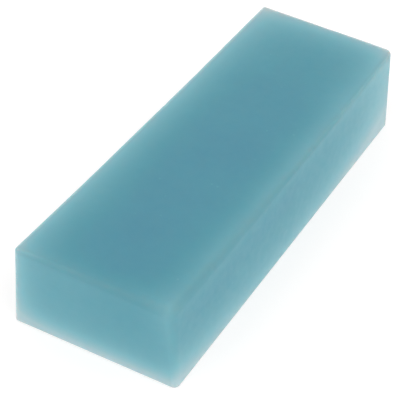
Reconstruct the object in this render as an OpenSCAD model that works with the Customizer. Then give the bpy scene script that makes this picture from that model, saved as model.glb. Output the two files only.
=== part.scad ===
// Detailing clay bar: one solid block of soft, translucent polybutene clay, cast in a shallow tray.
// The tray's draft makes the base wider than the top, the two cut ends are a little out of square,
// and the top face has settled into a shallow dip along its length.
// Frame: origin at the centre of the base, +X along the bar, +Y across it, +Z up. Millimetres.

/* [Block] */
// Length of the base, measured on the centre line
bar_length = 120; // [80:1:160]
// Width of the base
bar_width = 44.2; // [30:0.1:60]
// Height at the two ends
bar_height = 24.4; // [16:0.1:36]
// How far the top face dips at mid length
top_dip = 0.8; // [0:0.1:2]

/* [Faces] */
// Lean of the long sides, inwards from base to top, in degrees
side_draft = 3.6; // [0:0.1:6]
// Lean of the end faces, outwards from base to top, in degrees
end_overhang = 1.4; // [-3:0.1:3]
// Turn of each end cut away from square, in degrees
end_skew = 1.4; // [0:0.1:3]

/* [Edges] */
// Radius of the two long top edges
top_edge_r = 1.0; // [0.4:0.1:4]
// Radius of the top edge at each end
end_edge_r = 1.2; // [0.4:0.1:4]
// Radius of the four upright corners
corner_r = 1.8; // [0.4:0.1:4]
// Radius of the edges around the base
base_edge_r = 0.5; // [0.2:0.1:1.5]

/* [Hidden] */

clay_colour = [0.36, 0.58, 0.64];
arc_steps = 6;      // facets round each edge of the cross-section
end_steps = 7;      // sections in the rounded stretch at each end
body_steps = 18;    // sections along the stretch between the rounded ends
corner_keep = 0.45; // share of its radius that a long edge keeps where it meets an end face

half_length = bar_length / 2;
half_width = bar_width / 2;
end_zone = max(end_edge_r, corner_r, base_edge_r);

// How far a rounded edge of radius r draws a face in, at a distance s from the end face.
function drawn_in(r, s) = s >= r ? 0 : r - sqrt(s * (2 * r - s));

// Distances from an end face, packed closer towards the face so that the round stays even.
end_distances = [for (i = [0 : end_steps]) end_zone * (1 - cos(90 * i / end_steps))];

// Sections along the bar, as shares of the half length: -1 is one end and 1 the other.
near_zone = [for (s = end_distances) s / half_length - 1];
far_zone = [for (i = [end_steps : -1 : 0]) -near_zone[i]];
zone_edge = near_zone[end_steps];
middle = [for (i = [1 : body_steps - 1]) zone_edge * (1 - 2 * i / body_steps)];
sections = concat(near_zone, middle, far_zone);

// A quarter round from angle a0, about the corner centre [cy, cz].
function quarter(cy, cz, r, a0) =
    [for (i = [0 : arc_steps]) let (a = a0 + 90 * i / arc_steps) [cy + r * cos(a), cz + r * sin(a)]];

// The rounded rectangle at distance s from the nearer end, with the top face at height top.
function rectangle_points(s, top) =
    let (
        w = half_width - drawn_in(corner_r, s),
        high = top - drawn_in(end_edge_r, s),
        low = drawn_in(base_edge_r, s),
        rt = top_edge_r * (corner_keep + (1 - corner_keep) * min(1, s / end_zone)),
        rb = base_edge_r * (corner_keep + (1 - corner_keep) * min(1, s / end_zone))
    )
    concat(
        quarter(w - rt, high - rt, rt, 0),
        quarter(-w + rt, high - rt, rt, 90),
        quarter(-w + rb, low + rb, rb, 180),
        quarter(w - rb, low + rb, rb, 270)
    );

// Leans the long sides in with height, and skews and leans each section towards its end's cut.
function placed(u, p) =
    let (y = p[0] * (1 - tan(side_draft) * p[1] / half_width), z = p[1])
    [u * (half_length + tan(end_skew) * y + tan(end_overhang) * z), y, z];

function section_points(u) =
    let (s = (1 - abs(u)) * half_length, top = bar_height - top_dip * (1 - u * u))
    [for (p = rectangle_points(s, top)) placed(u, p)];

ring = 4 * (arc_steps + 1);
last = len(sections) - 1;

function side_faces(i) = [
    for (k = [0 : ring - 1])
    let (a = i * ring + k, b = i * ring + (k + 1) % ring)
    each [[a, b + ring, b], [a, a + ring, b + ring]]
];

module clay_block() {
    points = [for (u = sections) each section_points(u)];
    sides = [for (i = [0 : last - 1]) each side_faces(i)];
    near_cap = [for (k = [0 : ring - 1]) k];
    far_cap = [for (k = [ring - 1 : -1 : 0]) last * ring + k];
    polyhedron(points = points, faces = concat(sides, [near_cap, far_cap]));
}

// The block stands on the plane z = 0, which the intersection makes one flat face.
module clay_bar() {
    room = 2 * bar_length;
    color(clay_colour)
    intersection() {
        clay_block();
        translate([-room / 2, -room / 2, 0]) cube(room);
    }
}

clay_bar();
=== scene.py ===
"""Looks for the detailing clay bar: one soft, translucent block lying on a pale floor.

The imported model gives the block's box. A finer block is built here in mesh code, with its own soft
edges, dished top, trimmed ends and small dents, and it stands for the CAD node. Units are metres.
"""
import math
import random

import bpy
import numpy as np
from mathutils import Matrix, Vector, noise


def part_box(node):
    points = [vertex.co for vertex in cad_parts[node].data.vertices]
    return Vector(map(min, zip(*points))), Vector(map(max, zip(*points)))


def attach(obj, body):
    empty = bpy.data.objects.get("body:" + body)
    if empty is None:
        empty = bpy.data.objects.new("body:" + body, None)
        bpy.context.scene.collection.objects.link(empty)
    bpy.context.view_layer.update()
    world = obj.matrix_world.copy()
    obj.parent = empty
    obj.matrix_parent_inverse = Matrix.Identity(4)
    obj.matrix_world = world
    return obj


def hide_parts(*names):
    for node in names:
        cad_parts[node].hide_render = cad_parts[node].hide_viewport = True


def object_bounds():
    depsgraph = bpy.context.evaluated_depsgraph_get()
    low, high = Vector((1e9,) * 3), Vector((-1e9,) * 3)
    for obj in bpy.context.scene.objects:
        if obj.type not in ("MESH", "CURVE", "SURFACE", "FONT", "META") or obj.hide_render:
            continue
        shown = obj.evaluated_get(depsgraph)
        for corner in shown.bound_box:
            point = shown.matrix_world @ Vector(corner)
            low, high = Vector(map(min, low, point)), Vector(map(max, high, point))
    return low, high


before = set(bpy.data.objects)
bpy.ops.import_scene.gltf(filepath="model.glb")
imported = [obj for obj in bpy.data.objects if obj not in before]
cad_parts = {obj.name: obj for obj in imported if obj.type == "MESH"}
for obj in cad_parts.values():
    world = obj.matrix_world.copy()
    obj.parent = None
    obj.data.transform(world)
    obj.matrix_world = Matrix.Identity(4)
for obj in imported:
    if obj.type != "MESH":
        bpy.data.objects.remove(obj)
cad_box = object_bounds()

MM = 0.001
SEED = 11
draw = random.Random(SEED)

# ---------------------------------------------------------------- sizes, from the frame

low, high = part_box("clay_bar")
HEIGHT = high.z - low.z
WIDTH = high.y - low.y
END_SKEW = math.radians(1.4)
END_OVERHANG = math.radians(1.4)
SIDE_DRAFT = math.radians(3.6)
TOP_DIP = 0.8 * MM
# The skewed, overhanging ends push the box's corners out past the length on the centre line.
PUSHED_OUT = 1.0 * MM
LENGTH = high.x - low.x - 2 * PUSHED_OUT
HALF = np.array([LENGTH, WIDTH, HEIGHT]) / 2

# ---------------------------------------------------------------- the block's mesh

EDGE_ZONE = 3.2 * MM
EDGE_STEP = 0.2 * MM
FACE_STEP = 0.62 * MM

# Edge radii at the four corners: (near end or far end, near side or far side).
TOP_EDGE_R = {(-1, -1): 2.8 * MM, (-1, 1): 0.7 * MM, (1, -1): 0.6 * MM, (1, 1): 0.7 * MM}
UPRIGHT_R = {(-1, -1): 3.0 * MM, (-1, 1): 0.9 * MM, (1, -1): 2.6 * MM, (1, 1): 0.9 * MM}
UPRIGHT_BASE_SHARE = 0.5
BASE_EDGE_R = 0.5 * MM
# Times that the search for the rounded surface halves its interval.
HALVINGS = 30


def graded(span):
    """Positions from 0 to span, closely spaced where the edges are rounded and wider between."""
    fine = np.linspace(0, EDGE_ZONE, round(EDGE_ZONE / EDGE_STEP) + 1)
    count = round((span - 2 * EDGE_ZONE) / FACE_STEP)
    middle = np.linspace(EDGE_ZONE, span - EDGE_ZONE, count + 1)
    return np.concatenate([fine[:-1], middle, (span - fine[::-1])[1:]])


def box_lattice(xs, ys, zs):
    """The points and quads of a closed box whose faces are divided at the given positions."""
    counts = (len(xs) - 1, len(ys) - 1, len(zs) - 1)
    index = {}
    points = []

    def vertex(key):
        if key not in index:
            index[key] = len(points)
            points.append((xs[key[0]], ys[key[1]], zs[key[2]]))
        return index[key]

    quads = []
    for axis in range(3):
        u, v = (axis + 1) % 3, (axis + 2) % 3
        for end in (0, counts[axis]):
            for a in range(counts[u]):
                for b in range(counts[v]):
                    corners = []
                    for da, db in ((0, 0), (1, 0), (1, 1), (0, 1)):
                        key = [0, 0, 0]
                        key[axis], key[u], key[v] = end, a + da, b + db
                        corners.append(vertex(tuple(key)))
                    quads.append(corners if end else corners[::-1])
    return np.array(points), quads


def smooth(t):
    """0 below 0, 1 above 1, and an even blend between."""
    t = np.clip(t, 0, 1)
    return t * t * (3 - 2 * t)


def corner_blend(values, x, y):
    """Blends the four corners' values over the plan, quickly along x and evenly along y."""
    far = 1 - (0.5 - x / LENGTH) ** 2
    side = 0.5 + y / WIDTH
    near_end = values[-1, -1] * (1 - side) + values[-1, 1] * side
    far_end = values[1, -1] * (1 - side) + values[1, 1] * side
    return near_end * (1 - far) + far_end * far


def meet(a, b, radius):
    """Distance outside two walls that meet in an edge of that radius, from the distances outside each."""
    rim = np.hypot(np.maximum(radius + a, 0), np.maximum(radius + b, 0))
    return np.minimum(-radius, np.maximum(a, b)) + rim


def outside(p):
    """Distance of each point outside the rounded block, below 0 inside it."""
    x, y, z = p.T
    up = np.clip(z / HEIGHT, 0, 1)
    upright = corner_blend(UPRIGHT_R, x, y) * (UPRIGHT_BASE_SHARE + (1 - UPRIGHT_BASE_SHARE) * up)
    walls = meet(np.abs(x) - HALF[0], np.abs(y) - HALF[1], upright)
    topped = meet(walls, z - HEIGHT, corner_blend(TOP_EDGE_R, x, y))
    return meet(topped, -z, np.full(len(p), BASE_EDGE_R))


def rounded(p):
    """Draws the sharp box's points in towards its core until they lie on the rounded block."""
    centre = np.array([0, 0, HALF[2]])
    reach = HALF - EDGE_ZONE
    core = centre + np.clip(p - centre, -reach, reach)
    near, far = np.zeros(len(p)), np.ones(len(p))
    for _ in range(HALVINGS):
        middle = (near + far) / 2
        out = outside(core + (p - core) * middle[:, None]) > 0
        far = np.where(out, middle, far)
        near = np.where(out, near, middle)
    return core + (p - core) * far[:, None]


def settled(p):
    """Dips the top along its length, leans the long sides in, and skews and leans the ends out."""
    x, y, z = p.T
    u = x / HALF[0]
    z = z * (1 - TOP_DIP * (1 - u * u) / HEIGHT)
    y = y * (1 - math.tan(SIDE_DRAFT) * z / HALF[1])
    x = x + u * (math.tan(END_SKEW) * y + math.tan(END_OVERHANG) * z)
    return np.stack([x, y, z], axis=1)


# Low swells and dents that handling leaves in the soft clay: wavelength and height of each swell.
SWELLS = [(26 * MM, 0.10 * MM), (7 * MM, 0.015 * MM)]
SIDE_BULGE = 0.10 * MM
DENTS = 26
DENT_RADIUS = (1.2 * MM, 4.5 * MM)
DENT_DEPTH = 0.016
NICKS = 18
NICK_RADIUS = (0.5 * MM, 1.1 * MM)
NICK_DEPTH = 0.10
HOLLOW_FALLOFF = 2.5
# A point is on a face, or on a rounded edge, by the largest part of its normal along an axis.
FACE_NORMAL = 0.99
EDGE_NORMAL = 0.85
# The base presses flat on whatever it lies on, so the marks fade out above it.
FLAT_BAND = 1.5 * MM


def swell(p):
    """Height of the low swells at each point."""
    height = np.zeros(len(p))
    for wavelength, amount in SWELLS:
        height += [amount * noise.noise(Vector(q) / wavelength) for q in p]
    return height


def hollow(p, count, radii, share, centres):
    """Depth of soft round hollows, each of them a share of its radius deep."""
    depth = np.zeros(len(p))
    for centre in draw.sample(centres, count):
        radius = draw.uniform(*radii)
        reach = np.sum((p - p[centre]) ** 2, axis=1) / radius ** 2
        depth = np.maximum(depth, share * radius * np.exp(-HOLLOW_FALLOFF * reach))
    return depth


def weathered(p, normals):
    """Moves the points a little along their normals: swells, bulging sides, dents and edge nicks."""
    squareness = np.abs(normals).max(axis=1)
    on_faces = np.flatnonzero(squareness > FACE_NORMAL).tolist()
    on_edges = np.flatnonzero(squareness < EDGE_NORMAL).tolist()
    move = swell(p)
    move += SIDE_BULGE * normals[:, 1] ** 2 * (1 - (p[:, 0] / HALF[0]) ** 2)
    move -= hollow(p, DENTS, DENT_RADIUS, DENT_DEPTH, on_faces)
    move -= hollow(p, NICKS, NICK_RADIUS, NICK_DEPTH, on_edges)
    move *= smooth(p[:, 2] / FLAT_BAND)
    return p + normals * move[:, None]


# Painted light: light that enters one wall and comes out of the next makes the clay paler beside their
# edge, and that paleness is painted into the colour here. For each kind of face: its own even painted
# paleness, then terms that each give how pale the clay gets where it meets the named walls (axis, side),
# and how deep into the face that reaches from each of them.
NEAR_END, FAR_END, NEAR_SIDE, FAR_SIDE, BASE, TOP = (0, -1), (0, 1), (1, -1), (1, 1), (2, -1), (2, 1)
TOP_PAINTED_LIGHT = (0.07, [
    (0.25, {NEAR_END: 3 * MM}),
    (0.60, {FAR_END: 3.5 * MM}),
    (0.20, {FAR_END: 20 * MM}),
    (0.40, {NEAR_SIDE: 4.5 * MM}),
    (0.60, {FAR_SIDE: 5 * MM}),
])
SIDE_PAINTED_LIGHT = (0.0, [
    (0.05, {NEAR_END: 20 * MM}),
    (0.10, {NEAR_END: 2.5 * MM, TOP: 12 * MM}),
    (0.60, {FAR_END: 17 * MM}),
    (0.60, {BASE: 8 * MM}),
    (1.00, {BASE: 4 * MM, NEAR_END: 20 * MM}),
    (2.00, {BASE: 3 * MM, FAR_END: 20 * MM}),
    (0.20, {TOP: 4.5 * MM}),
])
END_PAINTED_LIGHT = (0.15, [
    (0.35, {NEAR_SIDE: 3.5 * MM, TOP: 20 * MM}),
    (0.50, {FAR_SIDE: 2.5 * MM}),
    (0.15, {FAR_SIDE: 20 * MM}),
    (1.30, {BASE: 3 * MM}),
])
# Painted shade: the colour along the near edges of the top is painted a little darker than the faces
# beside it. The painted shade reaches this far from the sharp box's edge, and by a share of the edge's
# radius further.
END_EDGE_SHADE = 0.14
SIDE_EDGE_SHADE = 0.17
EDGE_REACH = 1.05 * MM
EDGE_REACH_SHARE = 0.34


def painted_face_light(inset, even, terms):
    """The painted rim light of a face: how pale it is painted, from each point's distance inside the six
    walls.
    """
    rim_light_paint = np.full(len(inset[TOP]), even)
    for strength, depths in terms:
        rim_light_paint += strength * np.exp(-sum(inset[wall] / depth for wall, depth in depths.items()))
    return rim_light_paint


def painted_rim_light(block, normals):
    """The painted rim light at each point: how pale the clay is painted, blended between the faces by its
    normal.
    """
    offset = block - np.array([0, 0, HALF[2]])
    inset = {}
    for axis, side in (NEAR_END, FAR_END, NEAR_SIDE, FAR_SIDE, BASE, TOP):
        inset[axis, side] = np.maximum(HALF[axis] - side * offset[:, axis], 0)
    share = normals ** 2
    faces = (END_PAINTED_LIGHT, SIDE_PAINTED_LIGHT, TOP_PAINTED_LIGHT)
    return sum(share[:, axis] * painted_face_light(inset, *faces[axis]) for axis in range(3))


def edge_shade(block):
    """The painted shade at each point, as a factor on the colour: 1 on the faces, less along the near
    edges of the top.
    """
    x, y, z = block.T
    from_end = x + HALF[0]
    from_side = y + HALF[1]
    strength = np.where(from_end < from_side, END_EDGE_SHADE, SIDE_EDGE_SHADE)
    from_edge = np.hypot(np.minimum(from_end, from_side), HEIGHT - z)
    reach = EDGE_REACH + EDGE_REACH_SHARE * corner_blend(TOP_EDGE_R, x, y)
    return 1 - strength * np.exp(-(from_edge / reach) ** 2)


def vertex_normals(mesh):
    """The normal at each vertex, as one array."""
    return np.array([normal.vector for normal in mesh.vertex_normals])


def clay_mesh():
    """The whole block, with its painted rim light and its painted edge shade kept on the points for the
    material.
    """
    xs = graded(LENGTH) - HALF[0]
    ys = graded(WIDTH) - HALF[1]
    zs = graded(HEIGHT)
    lattice, quads = box_lattice(xs, ys, zs)
    block = rounded(lattice)
    points = settled(block)
    mesh = bpy.data.meshes.new("clay_block")
    mesh.from_pydata(points.tolist(), [], quads)
    normals = vertex_normals(mesh)
    mesh.vertices.foreach_set("co", weathered(points, normals).ravel())
    mesh.shade_smooth()
    mesh.update()
    # Painted rim light and painted shade along the near top edges, kept on the points for the colour.
    for name, values in (("rim_light_paint", painted_rim_light(block, normals)), ("shade", edge_shade(block))):
        mesh.attributes.new(name, "FLOAT", "POINT").data.foreach_set("value", values)
    return mesh


# ---------------------------------------------------------------- materials

# The clay's own colour in its deep middle, and paler colours standing in for the light that its thin rims
# let through, picked by the painted rim light.
CLAY_AND_PAINTED_RIM_COLOURS = [
    (0.0, (0.055, 0.23, 0.33, 1)),
    (0.15, (0.07, 0.29, 0.36, 1)),
    (0.5, (0.17, 0.42, 0.48, 1)),
    (1.0, (0.34, 0.51, 0.55, 1)),
]
SCATTER = (1.0, 0.45, 0.35)
SCATTER_DEPTH = 6.0 * MM
CLAY_IOR = 1.5
# The part of a noise texture's range that is spread over the values that it drives.
NOISE_RANGE = (0.3, 0.7)
FINE_DETAIL = 4
SMEAR_DETAIL = 3
# Noise scales are in cycles per metre of clay.
CLOUD_SCALE = 55
CLOUD_GLOW = 0.022
FLECK_SCALE = 420
FLECK_SIZE = 0.16
FLECK_SHARE = 0.12
FLECK_GLOW = 0.08
ROUGHNESS = (0.42, 0.53)
SMEAR_SCALE = (60, 900, 900)
GRAIN_SCALE = 2600
GRAIN_HEIGHT = 0.012 * MM
RIPPLE_SCALE = 380
RIPPLE_HEIGHT = 0.013 * MM
SMEAR_HEIGHT = 0.007 * MM


def ramp(nodes, stops):
    """A colour ramp through the given (position, colour) stops."""
    node = nodes.new("ShaderNodeValToRGB")
    elements = node.color_ramp.elements
    elements[0].position, elements[0].color = stops[0]
    elements[1].position, elements[1].color = stops[-1]
    for position, colour in stops[1:-1]:
        elements.new(position).color = colour
    return node


def noise_at(material, place, scale, detail=2.0):
    """A noise texture with that many cycles a metre, read at the given coordinates."""
    node = material.node_tree.nodes.new("ShaderNodeTexNoise")
    node.inputs["Scale"].default_value = scale
    node.inputs["Detail"].default_value = detail
    material.node_tree.links.new(place, node.inputs["Vector"])
    return node.outputs["Fac"]


def spread(material, value, low_end, high_end, to_low, to_high):
    """Maps a range of the value onto another, and holds it there."""
    node = material.node_tree.nodes.new("ShaderNodeMapRange")
    limits = {"From Min": low_end, "From Max": high_end, "To Min": to_low, "To Max": to_high}
    for name, number in limits.items():
        node.inputs[name].default_value = number
    material.node_tree.links.new(value, node.inputs["Value"])
    return node.outputs["Result"]


def combine(material, operation, *values):
    """A Math node over sockets and numbers."""
    node = material.node_tree.nodes.new("ShaderNodeMath")
    node.operation = operation
    for socket, value in zip(node.inputs, values):
        if isinstance(value, (int, float)):
            socket.default_value = value
        else:
            material.node_tree.links.new(value, socket)
    return node.outputs["Value"]


def from_mesh(material, name):
    """The mesh's own value of that name."""
    node = material.node_tree.nodes.new("ShaderNodeAttribute")
    node.attribute_name = name
    return node.outputs["Fac"]


def painted_rims_cloud_and_grit(material, place):
    """The rims' paleness from the painted rim light on the mesh, clouded a little, with pale flecks of
    the clay's grit.
    """
    nodes, links = material.node_tree.nodes, material.node_tree.links
    haze = noise_at(material, place, CLOUD_SCALE, FINE_DETAIL)
    cloud = spread(material, haze, *NOISE_RANGE, -CLOUD_GLOW, CLOUD_GLOW)
    cells = nodes.new("ShaderNodeTexVoronoi")
    cells.inputs["Scale"].default_value = FLECK_SCALE
    links.new(place, cells.inputs["Vector"])
    split = nodes.new("ShaderNodeSeparateColor")
    links.new(cells.outputs["Color"], split.inputs["Color"])
    dot = spread(material, cells.outputs["Distance"], FLECK_SIZE / 2, FLECK_SIZE, FLECK_GLOW, 0)
    chosen = combine(material, "LESS_THAN", split.outputs["Red"], FLECK_SHARE)
    fleck = combine(material, "MULTIPLY", dot, chosen)
    return combine(material, "ADD", combine(material, "ADD", from_mesh(material, "rim_light_paint"), cloud), fleck)


def clay_heights(material, place):
    """The surface's small relief: fine grain, soft ripples and faint smears drawn along the bar."""
    nodes, links = material.node_tree.nodes, material.node_tree.links
    stretch = nodes.new("ShaderNodeVectorMath")
    stretch.operation = "MULTIPLY"
    stretch.inputs[1].default_value = SMEAR_SCALE
    links.new(place, stretch.inputs[0])
    smears = noise_at(material, stretch.outputs["Vector"], 1, SMEAR_DETAIL)
    grain = combine(material, "MULTIPLY", noise_at(material, place, GRAIN_SCALE), GRAIN_HEIGHT)
    ripples = combine(material, "MULTIPLY", noise_at(material, place, RIPPLE_SCALE), RIPPLE_HEIGHT)
    drawn = combine(material, "MULTIPLY", smears, SMEAR_HEIGHT)
    return combine(material, "ADD", combine(material, "ADD", grain, ripples), drawn)


def clay_material():
    """Soft translucent clay: its colour with painted rim light and painted edge shade, its uneven sheen,
    its relief and its scattering.
    """
    material = bpy.data.materials.new("clay")
    material.use_nodes = True
    nodes, links = material.node_tree.nodes, material.node_tree.links
    place = nodes.new("ShaderNodeTexCoord").outputs["Object"]
    shader = nodes["Principled BSDF"]
    # Painted light: the ramp pales the clay's colour by the painted rim light.
    rim_light_ramp = ramp(nodes, CLAY_AND_PAINTED_RIM_COLOURS)
    links.new(painted_rims_cloud_and_grit(material, place), rim_light_ramp.inputs["Fac"])
    # Painted shade: the colour is scaled down along the near edges of the top.
    shaded = nodes.new("ShaderNodeVectorMath")
    shaded.operation = "SCALE"
    links.new(rim_light_ramp.outputs["Color"], shaded.inputs["Vector"])
    links.new(from_mesh(material, "shade"), shaded.inputs["Scale"])
    links.new(shaded.outputs["Vector"], shader.inputs["Base Color"])
    patches = noise_at(material, place, RIPPLE_SCALE, FINE_DETAIL)
    links.new(spread(material, patches, *NOISE_RANGE, *ROUGHNESS), shader.inputs["Roughness"])
    # The heights are in metres already.
    bump = nodes.new("ShaderNodeBump")
    bump.inputs["Distance"].default_value = 1.0
    links.new(clay_heights(material, place), bump.inputs["Height"])
    links.new(bump.outputs["Normal"], shader.inputs["Normal"])
    shader.inputs["IOR"].default_value = CLAY_IOR
    shader.inputs["Subsurface Weight"].default_value = 1.0
    shader.inputs["Subsurface Radius"].default_value = SCATTER
    shader.inputs["Subsurface Scale"].default_value = SCATTER_DEPTH
    return material


# The floor is matt and shines faintly itself, so that it stays white round the block's soft shade.
FLOOR_COLOUR = 0.7
FLOOR_ROUGHNESS = 0.9
FLOOR_GLOW = 0.41
FLOOR_GLOW_COLOUR = (1.0, 0.91, 0.88, 1)


def floor_material():
    """Plain pale floor."""
    material = bpy.data.materials.new("floor")
    material.use_nodes = True
    shader = material.node_tree.nodes["Principled BSDF"]
    shader.inputs["Base Color"].default_value = (FLOOR_COLOUR, FLOOR_COLOUR, FLOOR_COLOUR, 1)
    shader.inputs["Roughness"].default_value = FLOOR_ROUGHNESS
    shader.inputs["Emission Color"].default_value = FLOOR_GLOW_COLOUR
    shader.inputs["Emission Strength"].default_value = FLOOR_GLOW
    return material


# ---------------------------------------------------------------- the piece

clay = bpy.data.objects.new("clay_block", clay_mesh())
bpy.context.scene.collection.objects.link(clay)
clay.data.materials.append(clay_material())
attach(clay, "root")
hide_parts("clay_bar")

# ---------------------------------------------------------------- floor, light, camera

FLOOR_SIZE = 6.0
FLOOR_DROP = 0.02 * MM
bpy.ops.mesh.primitive_plane_add(size=FLOOR_SIZE, location=(0, 0, -FLOOR_DROP))
floor = bpy.context.object
floor.name = "floor"
floor.data.materials.append(floor_material())

OVERHEAD_LIGHT = 0.80
HORIZON_LIGHT = 0.97


def add_world():
    """A plain white room, a little dimmer overhead than at the horizon."""
    world = bpy.data.worlds.new("studio")
    bpy.context.scene.world = world
    world.use_nodes = True
    nodes, links = world.node_tree.nodes, world.node_tree.links
    place = nodes.new("ShaderNodeTexCoord")
    split = nodes.new("ShaderNodeSeparateXYZ")
    fade = nodes.new("ShaderNodeMapRange")
    fade.inputs["To Min"].default_value = HORIZON_LIGHT
    fade.inputs["To Max"].default_value = OVERHEAD_LIGHT
    links.new(place.outputs["Generated"], split.inputs["Vector"])
    links.new(split.outputs["Z"], fade.inputs["Value"])
    links.new(fade.outputs["Result"], nodes["Background"].inputs["Strength"])
    nodes["Background"].inputs["Color"].default_value = (1, 1, 1, 1)


add_world()

SOFTBOX_SIZE = 600 * MM
SOFTBOX_DISTANCE = 700 * MM
# Azimuth and elevation in degrees, and power in watts, of each softbox.
SOFTBOXES = {"key": (-12, 48, 1.0), "fill": (-115, 40, 0.9)}


def toward(azimuth, elevation):
    """The direction out to that azimuth, from -Y round to +X, and elevation."""
    flat = math.cos(elevation)
    return Vector((math.sin(azimuth) * flat, -math.cos(azimuth) * flat, math.sin(elevation)))


def add_softboxes():
    """Large soft lights, each aimed at the block."""
    for name, (azimuth, elevation, power) in SOFTBOXES.items():
        data = bpy.data.lights.new(name, "AREA")
        data.size = SOFTBOX_SIZE
        data.energy = power
        out = toward(math.radians(azimuth), math.radians(elevation))
        softbox = bpy.data.objects.new(name, data)
        softbox.location = out * SOFTBOX_DISTANCE
        softbox.rotation_euler = out.to_track_quat("Z", "Y").to_euler()
        bpy.context.scene.collection.objects.link(softbox)


add_softboxes()

CAMERA_AZIMUTH = math.radians(-62.02)
CAMERA_ELEVATION = math.radians(40.29)
CAMERA_ROLL = math.radians(2.73)
CAMERA_DISTANCE = 346.3 * MM
CAMERA_PAN = (-5.46 * MM, -6.15 * MM)
LENS = 121.0
SENSOR_WIDTH = 36
CLIP_START = 0.01


def add_camera():
    """A long lens on the near corner, its picture turned slightly and panned a little off centre."""
    back = toward(CAMERA_AZIMUTH, CAMERA_ELEVATION)
    level = Vector((0, 0, 1)).cross(back).normalized()
    upright = back.cross(level)
    right = level * math.cos(CAMERA_ROLL) + upright * math.sin(CAMERA_ROLL)
    up = upright * math.cos(CAMERA_ROLL) - level * math.sin(CAMERA_ROLL)
    middle = (Vector(cad_box[0]) + Vector(cad_box[1])) / 2
    place = middle + right * CAMERA_PAN[0] + up * CAMERA_PAN[1] + back * CAMERA_DISTANCE
    data = bpy.data.cameras.new("camera")
    data.lens = LENS
    data.sensor_width = SENSOR_WIDTH
    data.clip_start = CLIP_START
    camera = bpy.data.objects.new("camera", data)
    bpy.context.scene.collection.objects.link(camera)
    turn = Matrix((right, up, back)).transposed().to_4x4()
    camera.matrix_world = Matrix.Translation(place) @ turn
    bpy.context.scene.camera = camera


add_camera()
bpy.context.scene.view_settings.view_transform = "Standard"
